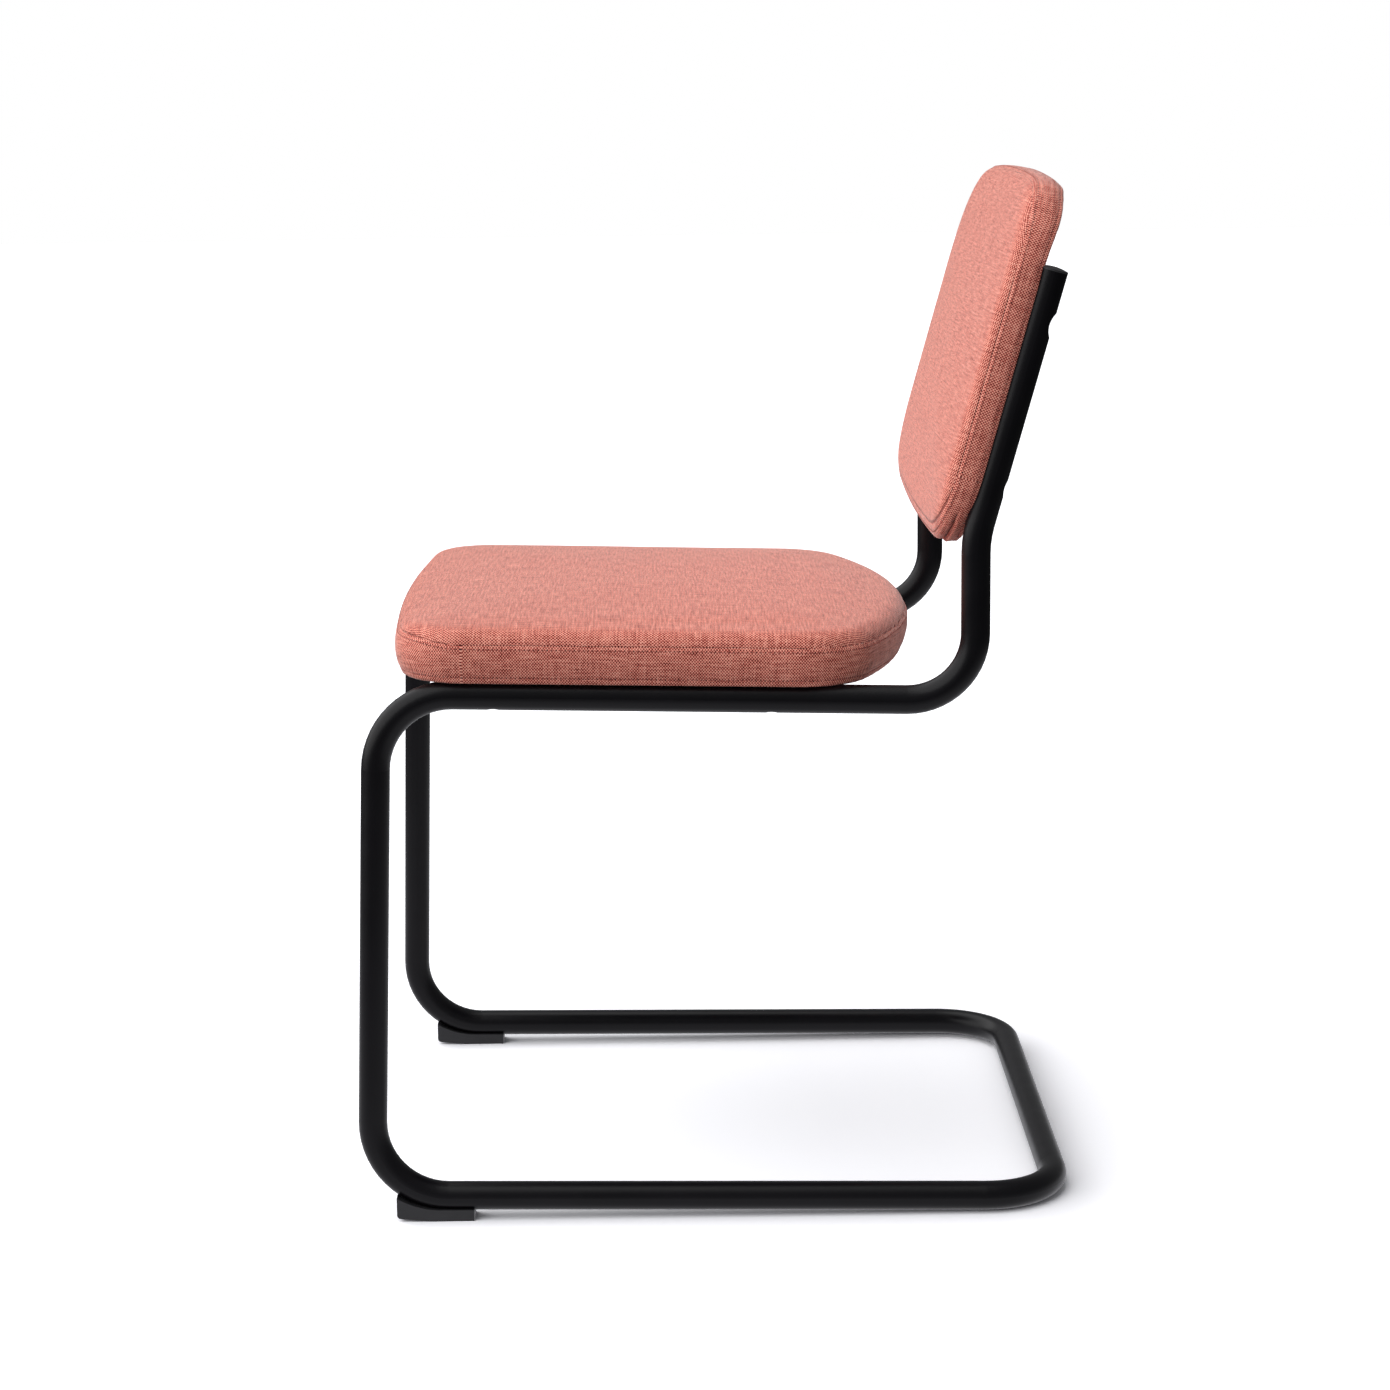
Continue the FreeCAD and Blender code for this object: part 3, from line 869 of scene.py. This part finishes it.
    @staticmethod
    def evened(piece: bpy.types.Object, values: np.ndarray, rounds: int = 24) -> np.ndarray:
        """Averages values over neighbouring vertices, which takes the creases out of them.

        Args:
            piece: The piece with the vertices.
            values: One row for each vertex.
            rounds: How often the average is taken.

        Returns:
            The evened rows.
        """
        ends = np.zeros(len(piece.data.edges) * 2, int)
        piece.data.edges.foreach_get("vertices", ends)
        ends = ends.reshape(-1, 2)
        source = np.concatenate([ends[:, 0], ends[:, 1]])
        target = np.concatenate([ends[:, 1], ends[:, 0]])
        count = np.maximum(np.bincount(source, minlength=len(values)), 1)
        for _ in range(rounds):
            near = [np.bincount(source, values[target, k], len(values)) / count for k in range(3)]
            values = 0.5 * values + 0.5 * np.stack(near, axis=1)
        return values

    @staticmethod
    def coordinates(piece: bpy.types.Object) -> np.ndarray:
        """Reads the vertex positions of a piece.

        Args:
            piece: The piece.

        Returns:
            The positions as rows.
        """
        values = np.zeros(len(piece.data.vertices) * 3)
        piece.data.vertices.foreach_get("co", values)
        return values.reshape(-1, 3)

    @staticmethod
    def put(piece: bpy.types.Object, positions: np.ndarray) -> None:
        """Writes vertex positions back to a piece."""
        piece.data.vertices.foreach_set("co", positions.astype(np.float32).ravel())
        piece.data.update()

    def nearest(self, flat: np.ndarray) -> tuple[np.ndarray, np.ndarray, np.ndarray]:
        """Nearest place on the outline for each point.

        Args:
            flat: Rows of (x, run).

        Returns:
            Arc length along the outline, distance inside it, and outward normals.
        """
        points, normals = self.plan.outline(0.0012)
        steps = np.linalg.norm(np.roll(points, -1, axis=0) - points, axis=1)
        lengths = np.concatenate([[0.0], np.cumsum(steps)[:-1]])
        tree = KDTree(len(points))
        for index, (x, run) in enumerate(points):
            tree.insert((x, run, 0.0), index)
        tree.balance()
        best = np.array([tree.find((x, run, 0.0))[1] for x, run in flat])
        offset = flat - points[best]
        tangent = np.stack([-normals[best][:, 1], normals[best][:, 0]], axis=1)
        return (lengths[best] + (offset * tangent).sum(1), -(offset * normals[best]).sum(1),
                normals[best])

    def rim_inset_at(self, normal: np.ndarray) -> np.ndarray:
        """Inset of the rim where the outline faces along each normal."""
        across = np.abs(normal[:, 0]) ** 2
        return self.section.rim_inset * (1 - across) + self.section.side_inset * across

    def on_side(self, local: np.ndarray) -> np.ndarray:
        """One near the cushion's side, zero on its top and underside."""
        inside = self.nearest(local[:, :2])[1]
        return (inside < self.section.rim_inset + 0.004).astype(float)

    def mark(self, pad: bpy.types.Object) -> None:
        """Writes where the seam and the stitch rows run, and lays the weave out.

        Args:
            pad: The pad, in the cushion's own plane.
        """
        local = self.coordinates(pad)
        arc, inside, normal = self.nearest(local[:, :2])
        height = local[:, 2]
        near_side = inside < self.section.rim_inset + 0.03
        seam = np.where(near_side, height - self.section.seam_height(normal), FAR)
        top_row, low_row = seam + self.section.stitch_drop, height - self.section.lower_stitch
        row = np.where(np.abs(top_row) < np.abs(low_row), top_row, low_row)
        row = np.where(near_side, row, FAR)
        # seam_distance places the painted shade of the seam line and, where the cushion has a closing
        # fold, of the fold as well.
        closed = np.abs(seam) / self.openness(normal)
        if self.fold_depth > 0:
            fold = np.abs(height - self.fold_height) / np.maximum(self.fold_share(normal), 0.02)
            closed = np.where(near_side, np.minimum(closed, fold), closed)
        for name, values in (("seam_distance", closed), ("row_distance", row), ("arc", arc)):
            attribute = pad.data.attributes.new(name, "FLOAT", "POINT")
            attribute.data.foreach_set("value", values.astype(np.float32))
        drop = np.clip(self.section.rim - height, 0, None)
        spread = np.clip(self.rim_inset_at(normal) - inside, 0, None)
        reach = np.maximum(np.hypot(drop, spread) - spread, 0.0)[:, None] * normal
        self.lay_cloth(pad, local[:, :2] + reach, np.stack([arc, height], axis=1), seam)

    @staticmethod
    def lay_cloth(pad: bpy.types.Object, top: np.ndarray, band: np.ndarray,
                  seam: np.ndarray) -> None:
        """Writes the weave's UV map: the top panel and, below the seam, the side band.

        Args:
            pad: The pad.
            top: Place of each vertex on the flat top panel.
            band: Place of each vertex on the flat side band, along it and up.
            seam: Height of each vertex above the seam.
        """
        index = np.zeros(len(pad.data.loops), int)
        pad.data.loops.foreach_get("vertex_index", index)
        starts = np.zeros(len(pad.data.polygons), int)
        totals = np.zeros(len(pad.data.polygons), int)
        pad.data.polygons.foreach_get("loop_start", starts)
        pad.data.polygons.foreach_get("loop_total", totals)
        face_of_loop = np.repeat(np.arange(len(starts)), totals)
        order = np.argsort(np.concatenate([np.arange(s, s + t) for s, t in zip(starts, totals)]))
        face_of_loop = face_of_loop[order]
        sums = np.zeros(len(starts))
        np.add.at(sums, face_of_loop, seam[index])
        on_band = (sums / totals < 0)[face_of_loop]
        arc = band[:, 0]
        perimeter = arc.max()
        face_arc = np.zeros(len(starts))
        np.maximum.at(face_arc, face_of_loop, arc[index])
        uv = np.where(on_band[:, None], band[index], top[index])
        uv[on_band & (face_arc[face_of_loop] - arc[index] > perimeter / 2), 0] += perimeter
        layer = pad.data.uv_layers.new(name="weave")
        layer.data.foreach_set("uv", uv.astype(np.float32).ravel())
        pad.data.polygons.foreach_set("use_smooth", np.ones(len(starts), bool))

    def openness(self, normal: np.ndarray) -> np.ndarray:
        """How far the seam gapes: little along the straight sides, most round the corners.

        Args:
            normal: Outward normals of the outline, as rows of (x, run).

        Returns:
            One share for each row.
        """
        straight = np.maximum(np.abs(normal[:, 0]), -normal[:, 1]) ** 12
        high = np.where(normal[:, 1] > 0, self.high_open, 1.0)
        return self.straight_open * straight + high * (1 - straight)

    @staticmethod
    def fold_share(normal: np.ndarray) -> np.ndarray:
        """How far the closing fold is open: shut on the sides, open round the low end."""
        return eased((-normal[:, 1] - 0.45) / 0.25)

    @staticmethod
    def hump(distance: np.ndarray, width: float) -> np.ndarray:
        """Returns one at no distance, falling off evenly on both sides."""
        return np.exp(-(distance / width) ** 2)

    def relief(self, pad: bpy.types.Object) -> None:
        """Presses the seam and the lower stitch row into the pad, and folds its closing edge.

        Args:
            pad: The pad, in the cushion's own plane.
        """
        local = self.coordinates(pad)
        arc, inside, normal = self.nearest(local[:, :2])
        height = local[:, 2]
        side = inside < self.section.rim_inset + 0.02
        out = np.zeros_like(local)
        out[:, :2] = normal
        seam = self.section.seam_height(normal)
        gape = self.openness(normal)
        lines = self.lines
        groove = lines.groove_depth * gape * self.hump(height - seam, lines.groove_width)
        ridge = lines.ridge_depth * gape * self.hump(height - seam + lines.ridge_drop,
                                                     lines.ridge_width)
        tuck = lines.tuck_depth * self.hump(height - self.section.lower_stitch,
                                            lines.groove_width)
        depth = np.where(side, groove + tuck - ridge, 0.0)
        if self.fold_depth > 0:
            share = self.fold_share(normal) * side
            slit = self.hump(height - self.fold_height, lines.slit_width)
            lip = self.hump(height - self.fold_height + lines.lip_drop, lines.lip_width)
            fold = self.hump(height - (self.fold_height + seam) / 2, lines.fold_width)
            wave = 0.75 + 0.25 * np.sin(arc / lines.wave_length)
            depth = depth + self.fold_depth * share * (slit - lines.lip_share * lip
                                                       - lines.fold_share * fold * wave)
        if self.roll > 0:
            run_share = (local[:, 1] - self.plan.high + lines.roll_run) / lines.roll_blend
            sunk = self.roll * eased(run_share)
            sunk *= 1 - eased((inside - lines.roll_inset) / lines.roll_reach)
            local[:, 2] -= sunk * (1 - eased((height - lines.roll_inset) / lines.roll_height))
        self.put(pad, local - out * depth[:, None])

    def stitches(self, pad: bpy.types.Object) -> bpy.types.Object:
        """Lays a row of top stitches under the seam and another above the foot.

        Args:
            pad: The finished pad, in the chair's frame.

        Returns:
            All the stitches as one piece.
        """
        points, normals = self.plan.outline(0.001)
        steps = np.linalg.norm(np.roll(points, -1, axis=0) - points, axis=1)
        lengths = np.concatenate([[0.0], np.cumsum(steps)[:-1]])
        matrix = self.place.matrix()
        graph = bpy.context.evaluated_depsgraph_get()
        tree = BVHTree.FromObject(pad, graph)
        mesh = bmesh.new()
        seam = self.section.seam_height(normals) - self.section.stitch_drop
        low = np.full(len(points), self.section.lower_stitch)
        for heights in (seam, low):
            count = int(lengths[-1] / self.stitch_pitch)
            for k in range(count):
                start_arc = (k + 0.5) * self.stitch_pitch - self.stitch_length / 2
                here = int(np.searchsorted(lengths, start_arc))
                there = int(np.searchsorted(lengths, start_arc + self.stitch_length))
                ends = []
                for place in (here, min(there, len(points) - 1)):
                    outer = points[place] + normals[place] * 0.03
                    start = matrix @ Vector((outer[0], outer[1], heights[place]))
                    inward = matrix.to_3x3() @ Vector((-normals[place][0], -normals[place][1], 0))
                    hit = tree.ray_cast(start, inward, 0.09)
                    if hit[0] is not None:
                        ends.append(hit[0] + hit[1] * self.thread_radius * 0.3)
                if len(ends) == 2:
                    self.stitch(mesh, *ends)
        data = bpy.data.meshes.new(self.name + "_stitching")
        mesh.to_mesh(data)
        mesh.free()
        data.polygons.foreach_set("use_smooth", np.ones(len(data.polygons), bool))
        piece = bpy.data.objects.new(self.name + "_stitching", data)
        bpy.context.scene.collection.objects.link(piece)
        return piece

    def stitch(self, mesh: bmesh.types.BMesh, start: Vector, end: Vector) -> None:
        """Adds one stitch, a short rounded rod of thread.

        Args:
            mesh: The mesh of all the stitches.
            start: Where the thread comes up.
            end: Where it goes down.
        """
        along = end - start
        turn = along.to_track_quat("Z", "Y").to_matrix().to_4x4()
        turn.translation = (start + end) / 2
        made = bmesh.ops.create_icosphere(mesh, subdivisions=1, radius=self.thread_radius)
        stretch = Matrix.Diagonal((1, 1, along.length / 2 / self.thread_radius, 1))
        bmesh.ops.transform(mesh, matrix=turn @ stretch, verts=made["verts"])

    def lining(self) -> bpy.types.Object:
        """Builds the thin lining that closes the cushion, a cleaned copy of its CAD sheet.

        Returns:
            The lining.
        """
        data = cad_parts[self.lining_node].data.copy()
        piece = bpy.data.objects.new(self.name + "_lining", data)
        bpy.context.scene.collection.objects.link(piece)
        mesh = bmesh.new()
        mesh.from_mesh(data)
        bmesh.ops.remove_doubles(mesh, verts=mesh.verts, dist=1e-6)
        bmesh.ops.dissolve_limit(mesh, angle_limit=math.radians(2), verts=mesh.verts,
                                 edges=mesh.edges)
        bmesh.ops.recalc_face_normals(mesh, faces=mesh.faces)
        mesh.to_mesh(data)
        mesh.free()
        return piece

    def cut_size(self, lining: bpy.types.Object) -> tuple[float, float, float]:
        """Measures a flat lining in the cushion's own plane.

        Args:
            lining: The finished lining.

        Returns:
            Width, length and flat area of the cloth, in metres and square metres.
        """
        back = self.place.matrix().inverted()
        flat = np.array([back @ v.co for v in lining.data.vertices])
        width, length = np.ptp(flat[:, 0]), np.ptp(flat[:, 1])
        faces = [f.area for f in lining.data.polygons if abs((back.to_3x3() @ f.normal).z) > 0.7]
        return float(width), float(length), float(min(sum(faces) / 2, width * length))


@dataclass
class SeatCushion(Cushion):
    """Seat cushion on the rails."""


@dataclass
class BackCushion(Cushion):
    """Backrest cushion in front of the uprights, with a folded closing edge below."""


# Frame and small parts


@dataclass
class TubeFrame:
    """The bent tube frame with its plugs, glides and hidden sleeve, all shaped in CAD."""

    coated: tuple[str, ...] = ("frame_tube_left", "frame_tube_right")
    plastic: tuple[str, ...] = ("upright_end_plug_left", "upright_end_plug_right",
                                "front_glide_left", "front_glide_right")
    metal: tuple[str, ...] = ("rear_bar_joint_sleeve", "front_glide_screws",
                              "seat_threaded_inserts", "seat_fixing_bolts",
                              "backrest_threaded_inserts", "backrest_fixing_bolts")
    boards: tuple[str, ...] = ("seat_plywood_board", "backrest_plywood_board")

    def dress(self) -> None:
        """Gives each carried-over CAD node its finish."""
        finishes = ((Slot.FRAME, self.coated, PowderCoat().build()),
                    (Slot.PLASTIC, self.plastic, MouldedPlastic().build()),
                    (Slot.METAL, self.metal, ZincPlate().build()),
                    (Slot.BOARD, self.boards, Plywood().build()))
        for kind, names, material in finishes:
            for name in names:
                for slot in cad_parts[name].material_slots:
                    slot.material = material
                log.info("dressed %s as %s", name, kind.value)


# Camera, lights and floor


@dataclass(frozen=True)
class Studio:
    """Camera at the photograph's angle, soft overhead light and a white floor."""

    camera_place: Colour = (2.5057, -0.0303, 0.8690)
    camera_turn: Colour = (78.604, 0.702, 89.426)
    lens: float = 80.64
    sun_from: Colour = (0.02, -0.95, 1.0)
    sun_strength: float = 3.8
    sun_angle: float = 100.0
    world_strength: float = 0.28
    floor_size: float = 14.0
    contact_shade_reach: float = 0.18

    def camera(self) -> bpy.types.Object:
        """Adds the camera at the photograph's angle.

        Returns:
            The camera, which is also the scene's.
        """
        data = bpy.data.cameras.new("camera")
        data.lens = self.lens
        data.sensor_width = 36.0
        data.clip_start, data.clip_end = 0.05, 50.0
        camera = bpy.data.objects.new("camera", data)
        camera.location = self.camera_place
        camera.rotation_euler = [math.radians(a) for a in self.camera_turn]
        bpy.context.scene.collection.objects.link(camera)
        bpy.context.scene.camera = camera
        return camera

    def lights(self) -> None:
        """Adds the overhead light, as wide as a studio ceiling."""
        data = bpy.data.lights.new("overhead_light", "SUN")
        data.energy = self.sun_strength
        data.angle = math.radians(self.sun_angle)
        lamp = bpy.data.objects.new("overhead_light", data)
        lamp.rotation_euler = Vector(self.sun_from).to_track_quat("Z", "Y").to_euler()
        bpy.context.scene.collection.objects.link(lamp)

    def world(self) -> None:
        """Sets the even white surround: the camera sees it as pure white, and it lights the chair at a
        lower strength.
        """
        world = bpy.data.worlds.new("white_surround")
        bpy.context.scene.world = world
        world.use_nodes = True
        tree = world.node_tree
        tree.nodes.clear()
        output = tree.nodes.new("ShaderNodeOutputWorld")
        mix = tree.nodes.new("ShaderNodeMixShader")
        light = tree.nodes.new("ShaderNodeBackground")
        seen = tree.nodes.new("ShaderNodeBackground")
        path = tree.nodes.new("ShaderNodeLightPath")
        light.inputs["Color"].default_value = (0.97, 0.98, 1.0, 1.0)
        light.inputs["Strength"].default_value = self.world_strength
        seen.inputs["Color"].default_value = (1.0, 1.0, 1.0, 1.0)
        seen.inputs["Strength"].default_value = 1.0
        tree.links.new(path.outputs["Is Camera Ray"], mix.inputs["Fac"])
        tree.links.new(light.outputs["Background"], mix.inputs[1])
        tree.links.new(seen.outputs["Background"], mix.inputs[2])
        tree.links.new(mix.outputs["Shader"], output.inputs["Surface"])

    def floor(self) -> bpy.types.Object:
        """Adds the white floor, which keeps the chair's soft shadow and adds a painted contact shade
        near the chair; glossy rays see it as a painted glow that fades away from the chair.

        Returns:
            The floor.
        """
        mesh = bmesh.new()
        bmesh.ops.create_grid(mesh, x_segments=1, y_segments=1, size=self.floor_size)
        data = bpy.data.meshes.new("studio_floor")
        mesh.to_mesh(data)
        mesh.free()
        floor = bpy.data.objects.new("studio_floor", data)
        bpy.context.scene.collection.objects.link(floor)
        tree = NodeTree("studio_floor")
        tree.nodes.remove(tree.shader)
        path = tree.add("ShaderNodeLightPath")
        # Painted contact shade: ambient occlusion darkens the floor's colour near the chair.
        contact_shade_ao = tree.add("ShaderNodeAmbientOcclusion", samples=8)
        contact_shade_ao.inputs["Distance"].default_value = self.contact_shade_reach
        seen = tree.add("ShaderNodeBsdfDiffuse")
        tree.feed(seen.inputs["Color"], tree.ramp(contact_shade_ao.outputs["AO"], (1.10, 1.10, 1.14),
                                                  (1.32, 1.32, 1.36), 0.2, 1.0))
        bounce = tree.add("ShaderNodeBsdfDiffuse")
        bounce.inputs["Color"].default_value = (0.40, 0.40, 0.41, 1.0)
        far = tree.add("ShaderNodeVectorMath", operation="LENGTH")
        tree.feed(far.inputs[0], tree.object_coordinates())
        # Painted reflection: glossy rays see the floor as a glow, bright near the chair and dark far
        # off.
        painted_floor_glow = tree.add("ShaderNodeEmission")
        reach = tree.math("DIVIDE", far.outputs["Value"], 2.0)
        tree.feed(painted_floor_glow.inputs["Color"],
                  tree.ramp(reach, (0.95, 0.95, 1.0), (0.05, 0.05, 0.05), 0.35, 0.75))
        others = tree.add("ShaderNodeMixShader")
        tree.feed(others.inputs["Fac"], path.outputs["Is Glossy Ray"])
        tree.feed(others.inputs[1], bounce.outputs["BSDF"])
        tree.feed(others.inputs[2], painted_floor_glow.outputs["Emission"])
        mix = tree.add("ShaderNodeMixShader")
        tree.feed(mix.inputs["Fac"], path.outputs["Is Camera Ray"])
        tree.feed(mix.inputs[1], others.outputs["Shader"])
        tree.feed(mix.inputs[2], seen.outputs["BSDF"])
        tree.feed(tree.output.inputs["Surface"], mix.outputs["Shader"])
        floor.data.materials.append(tree.material)
        return floor

    def build(self) -> None:
        """Adds everything and sets the plain view transform."""
        bpy.context.scene.view_settings.view_transform = "Standard"
        self.camera()
        self.lights()
        self.world()
        self.floor()


# The chair's cushions, in metres


def cushion_materials() -> dict[Slot, bpy.types.Material]:
    """Returns the cloth and lining that both cushions share."""
    return {Slot.CLOTH: WovenCloth("coral_woven_cloth").build(), Slot.UNDER: SpunCloth().build()}


def seat_cushion(materials: dict[Slot, bpy.types.Material]) -> SeatCushion:
    """Describes the seat cushion.

    Args:
        materials: Cloth and lining by slot.

    Returns:
        The cushion, not yet built.
    """
    tilt = math.radians(-1.41)
    lift = 0.011 - 0.0008
    return SeatCushion(
        name="seat_cushion",
        plan=CushionPlan(0.222, -0.249, 0.1615, 2.2, 0.456, 0.054, 0.064),
        section=CushionSection(foot_inset=0.006, bulge=0.021, rim=0.042, rim_inset=0.016,
                               side_inset=0.016, crown=0.008, seam=0.0305, seam_rise=0.0045,
                               stitch_drop=0.003, lower_stitch=0.0055),
        place=CushionPlace(Vector((0, -lift * math.sin(tilt), 0.4031 + lift * math.cos(tilt))), tilt),
        cover_node="seat_fabric_cover", foam_node="seat_foam_pad", lining_node="seat_under_cloth",
        board_node="seat_plywood_board", materials=materials)


def back_cushion(materials: dict[Slot, bpy.types.Material]) -> BackCushion:
    """Describes the backrest cushion.

    Args:
        materials: Cloth and lining by slot.

    Returns:
        The cushion, not yet built.
    """
    tilt = math.radians(90 - 15.77)
    lift = 0.011 - 0.004
    origin = Vector((0, 0.1985 - lift * math.sin(tilt), 0.5222 + lift * math.cos(tilt)))
    return BackCushion(
        name="backrest_cushion",
        plan=CushionPlan(0.216, -0.0185, 0.2725, 3.0, 3.0, 0.056, 0.076),
        section=CushionSection(foot_inset=0.0025, bulge=0.0125, rim=0.027, rim_inset=0.026,
                               side_inset=0.010, crown=0.008, seam=0.0205, seam_rise=0.0035,
                               stitch_drop=0.003, lower_stitch=0.004),
        place=CushionPlace(origin, tilt), voxel=0.006, levels=2, high_open=0.25,
        fold_depth=0.0036,
        cover_node="backrest_fabric_cover", foam_node="backrest_foam_pad",
        lining_node="backrest_rear_cloth", board_node="backrest_plywood_board", roll=0.0045,
        straight_open=0.42,
        materials=materials)


def main() -> None:
    """Builds the scene in order and reports each piece."""
    Studio().build()
    TubeFrame().dress()
    materials = cushion_materials()
    for cushion in (seat_cushion(materials), back_cushion(materials)):
        for piece in cushion.build():
            log.info("built %s: %d faces", piece.name, len(piece.data.polygons))


if __name__ == "__main__":
    main()
